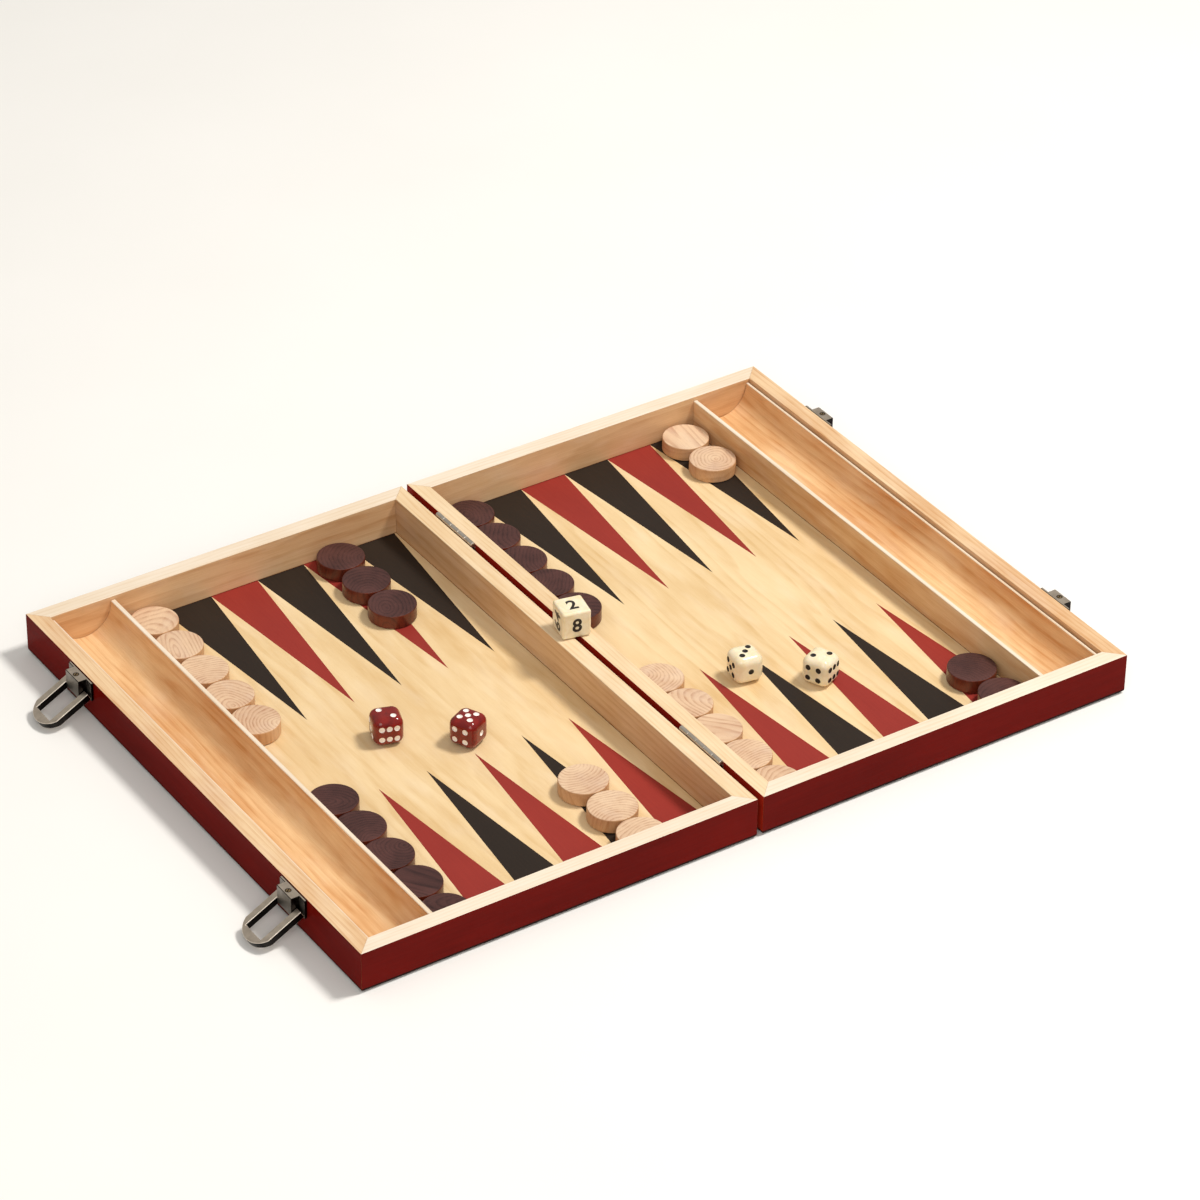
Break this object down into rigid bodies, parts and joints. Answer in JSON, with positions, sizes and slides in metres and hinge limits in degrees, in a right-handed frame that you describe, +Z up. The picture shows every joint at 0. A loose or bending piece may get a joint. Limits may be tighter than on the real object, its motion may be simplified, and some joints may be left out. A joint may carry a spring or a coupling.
{
  "type": "folding backgammon set",
  "caption": "Folding wooden backgammon case laid open: inlaid points, bearing-off troughs, swing latches, checkers in the starting position, dice and a doubling cube.",
  "frame": {"origin": "middle of the open set's footprint, on the table", "axes": "+Z up, +X from the tray with the bails to the tray with the catches, +Y away from the near side, along the hinge line"},
  "size_m": [0.5226, 0.356, 0.0421],
  "materials": {
    "rail_wood": "clear lacquer over maple, dark red stain on the outer sides",
    "panel_veneer": "high gloss lacquer over burl veneer, inlaid playing field inside",
    "trough_wood": "satin lacquer",
    "hinge_metal": "brushed nickel plate",
    "latch_metal": "satin nickel plate",
    "ivory_acrylic": "polished",
    "red_acrylic": "polished",
    "light_checker_wood": "satin lacquer",
    "dark_checker_wood": "dark stain under satin lacquer"
  },
  "bodies": {
    "right_half": {"right_base_panel": "panel_veneer", "right_near_rail": "rail_wood", "right_far_rail": "rail_wood", "right_hinge_rail": "rail_wood", "right_outer_rail": "rail_wood", "right_trough": "trough_wood", "latch_near_catch": "latch_metal", "latch_far_catch": "latch_metal", "hinge_near_right_leaf": "hinge_metal", "hinge_far_right_leaf": "hinge_metal", "hinge_near_pin": "hinge_metal", "hinge_far_pin": "hinge_metal"},
    "left_half": {"left_base_panel": "panel_veneer", "left_near_rail": "rail_wood", "left_far_rail": "rail_wood", "left_hinge_rail": "rail_wood", "left_outer_rail": "rail_wood", "left_trough": "trough_wood", "latch_near_base": "latch_metal", "latch_far_base": "latch_metal", "hinge_near_left_leaf": "hinge_metal", "hinge_far_left_leaf": "hinge_metal"},
    "bail_near": {"latch_near_bail": "latch_metal"},
    "bail_far": {"latch_far_bail": "latch_metal"},
    "doubling_cube": {"doubling_cube": "ivory_acrylic"},
    "die_ivory_a": {"die_ivory_a": "ivory_acrylic"},
    "die_ivory_b": {"die_ivory_b": "ivory_acrylic"},
    "die_red_a": {"die_red_a": "red_acrylic"},
    "die_red_b": {"die_red_b": "red_acrylic"},
    "checker_dark_01": {"checker_dark_01": "dark_checker_wood"},
    "checker_dark_02": {"checker_dark_02": "dark_checker_wood"},
    "checker_dark_03": {"checker_dark_03": "dark_checker_wood"},
    "checker_dark_04": {"checker_dark_04": "dark_checker_wood"},
    "checker_dark_05": {"checker_dark_05": "dark_checker_wood"},
    "checker_dark_06": {"checker_dark_06": "dark_checker_wood"},
    "checker_dark_07": {"checker_dark_07": "dark_checker_wood"},
    "checker_dark_08": {"checker_dark_08": "dark_checker_wood"},
    "checker_dark_09": {"checker_dark_09": "dark_checker_wood"},
    "checker_dark_10": {"checker_dark_10": "dark_checker_wood"},
    "checker_dark_11": {"checker_dark_11": "dark_checker_wood"},
    "checker_dark_12": {"checker_dark_12": "dark_checker_wood"},
    "checker_dark_13": {"checker_dark_13": "dark_checker_wood"},
    "checker_dark_14": {"checker_dark_14": "dark_checker_wood"},
    "checker_dark_15": {"checker_dark_15": "dark_checker_wood"},
    "checker_light_01": {"checker_light_01": "light_checker_wood"},
    "checker_light_02": {"checker_light_02": "light_checker_wood"},
    "checker_light_03": {"checker_light_03": "light_checker_wood"},
    "checker_light_04": {"checker_light_04": "light_checker_wood"},
    "checker_light_05": {"checker_light_05": "light_checker_wood"},
    "checker_light_06": {"checker_light_06": "light_checker_wood"},
    "checker_light_07": {"checker_light_07": "light_checker_wood"},
    "checker_light_08": {"checker_light_08": "light_checker_wood"},
    "checker_light_09": {"checker_light_09": "light_checker_wood"},
    "checker_light_10": {"checker_light_10": "light_checker_wood"},
    "checker_light_11": {"checker_light_11": "light_checker_wood"},
    "checker_light_12": {"checker_light_12": "light_checker_wood"},
    "checker_light_13": {"checker_light_13": "light_checker_wood"},
    "checker_light_14": {"checker_light_14": "light_checker_wood"},
    "checker_light_15": {"checker_light_15": "light_checker_wood"}
  },
  "joints": [
    {"name": "case_fold", "type": "hinge", "parent": "right_half", "child": "left_half", "pos_m": [0.01146, 0, 0.02525], "axis": [0, 1, 0], "range_deg": [0, 180]},
    {"name": "bail_near_swing", "type": "hinge", "parent": "left_half", "child": "bail_near", "pos_m": [-0.23604, -0.1129, 0.0151], "axis": [0, 1, 0], "range_deg": [0, 118]},
    {"name": "bail_far_swing", "type": "hinge", "parent": "left_half", "child": "bail_far", "pos_m": [-0.23604, 0.1129, 0.0151], "axis": [0, 1, 0], "range_deg": [0, 118]},
    {"name": "doubling_cube_put_away", "type": "hinge", "parent": "right_half", "child": "doubling_cube", "pos_m": [0.02446, 0.004, 0.0222], "axis": [0, 1, 0], "range_deg": [0, 180]},
    {"name": "die_ivory_a_lift", "type": "slide", "parent": "right_half", "child": "die_ivory_a", "axis": [0, 0, -1], "range_m": [-0.045, 0]},
    {"name": "die_ivory_b_lift", "type": "slide", "parent": "right_half", "child": "die_ivory_b", "axis": [0, 0, -1], "range_m": [-0.045, 0]},
    {"name": "die_red_a_lift", "type": "slide", "parent": "left_half", "child": "die_red_a", "axis": [0, 0, -1], "range_m": [-0.045, 0]},
    {"name": "die_red_b_lift", "type": "slide", "parent": "left_half", "child": "die_red_b", "axis": [0, 0, -1], "range_m": [-0.045, 0]},
    {"name": "checker_dark_01_lift", "type": "slide", "parent": "right_half", "child": "checker_dark_01", "axis": [0, 0, -1], "range_m": [-0.045, 0]},
    {"name": "checker_dark_02_lift", "type": "slide", "parent": "right_half", "child": "checker_dark_02", "axis": [0, 0, -1], "range_m": [-0.045, 0]},
    {"name": "checker_dark_03_lift", "type": "slide", "parent": "left_half", "child": "checker_dark_03", "axis": [0, 0, -1], "range_m": [-0.045, 0]},
    {"name": "checker_dark_04_lift", "type": "slide", "parent": "left_half", "child": "checker_dark_04", "axis": [0, 0, -1], "range_m": [-0.045, 0]},
    {"name": "checker_dark_05_lift", "type": "slide", "parent": "left_half", "child": "checker_dark_05", "axis": [0, 0, -1], "range_m": [-0.045, 0]},
    {"name": "checker_dark_06_lift", "type": "slide", "parent": "left_half", "child": "checker_dark_06", "axis": [0, 0, -1], "range_m": [-0.045, 0]},
    {"name": "checker_dark_07_lift", "type": "slide", "parent": "left_half", "child": "checker_dark_07", "axis": [0, 0, -1], "range_m": [-0.045, 0]},
    {"name": "checker_dark_08_lift", "type": "slide", "parent": "left_half", "child": "checker_dark_08", "axis": [0, 0, -1], "range_m": [-0.045, 0]},
    {"name": "checker_dark_09_lift", "type": "slide", "parent": "left_half", "child": "checker_dark_09", "axis": [0, 0, -1], "range_m": [-0.045, 0]},
    {"name": "checker_dark_10_lift", "type": "slide", "parent": "left_half", "child": "checker_dark_10", "axis": [0, 0, -1], "range_m": [-0.045, 0]},
    {"name": "checker_dark_11_lift", "type": "slide", "parent": "right_half", "child": "checker_dark_11", "axis": [0, 0, -1], "range_m": [-0.045, 0]},
    {"name": "checker_dark_12_lift", "type": "slide", "parent": "right_half", "child": "checker_dark_12", "axis": [0, 0, -1], "range_m": [-0.045, 0]},
    {"name": "checker_dark_13_lift", "type": "slide", "parent": "right_half", "child": "checker_dark_13", "axis": [0, 0, -1], "range_m": [-0.045, 0]},
    {"name": "checker_dark_14_lift", "type": "slide", "parent": "right_half", "child": "checker_dark_14", "axis": [0, 0, -1], "range_m": [-0.045, 0]},
    {"name": "checker_dark_15_lift", "type": "slide", "parent": "right_half", "child": "checker_dark_15", "axis": [0, 0, -1], "range_m": [-0.045, 0]},
    {"name": "checker_light_01_lift", "type": "slide", "parent": "right_half", "child": "checker_light_01", "axis": [0, 0, -1], "range_m": [-0.045, 0]},
    {"name": "checker_light_02_lift", "type": "slide", "parent": "right_half", "child": "checker_light_02", "axis": [0, 0, -1], "range_m": [-0.045, 0]},
    {"name": "checker_light_03_lift", "type": "slide", "parent": "right_half", "child": "checker_light_03", "axis": [0, 0, -1], "range_m": [-0.045, 0]},
    {"name": "checker_light_04_lift", "type": "slide", "parent": "right_half", "child": "checker_light_04", "axis": [0, 0, -1], "range_m": [-0.045, 0]},
    {"name": "checker_light_05_lift", "type": "slide", "parent": "right_half", "child": "checker_light_05", "axis": [0, 0, -1], "range_m": [-0.045, 0]},
    {"name": "checker_light_06_lift", "type": "slide", "parent": "left_half", "child": "checker_light_06", "axis": [0, 0, -1], "range_m": [-0.045, 0]},
    {"name": "checker_light_07_lift", "type": "slide", "parent": "left_half", "child": "checker_light_07", "axis": [0, 0, -1], "range_m": [-0.045, 0]},
    {"name": "checker_light_08_lift", "type": "slide", "parent": "left_half", "child": "checker_light_08", "axis": [0, 0, -1], "range_m": [-0.045, 0]},
    {"name": "checker_light_09_lift", "type": "slide", "parent": "left_half", "child": "checker_light_09", "axis": [0, 0, -1], "range_m": [-0.045, 0]},
    {"name": "checker_light_10_lift", "type": "slide", "parent": "left_half", "child": "checker_light_10", "axis": [0, 0, -1], "range_m": [-0.045, 0]},
    {"name": "checker_light_11_lift", "type": "slide", "parent": "left_half", "child": "checker_light_11", "axis": [0, 0, -1], "range_m": [-0.045, 0]},
    {"name": "checker_light_12_lift", "type": "slide", "parent": "left_half", "child": "checker_light_12", "axis": [0, 0, -1], "range_m": [-0.045, 0]},
    {"name": "checker_light_13_lift", "type": "slide", "parent": "left_half", "child": "checker_light_13", "axis": [0, 0, -1], "range_m": [-0.045, 0]},
    {"name": "checker_light_14_lift", "type": "slide", "parent": "right_half", "child": "checker_light_14", "axis": [0, 0, -1], "range_m": [-0.045, 0]},
    {"name": "checker_light_15_lift", "type": "slide", "parent": "right_half", "child": "checker_light_15", "axis": [0, 0, -1], "range_m": [-0.045, 0]}
  ],
  "couplings": [
    {"joint": "doubling_cube_put_away", "follows": "case_fold", "ratio": 1}
  ]
}
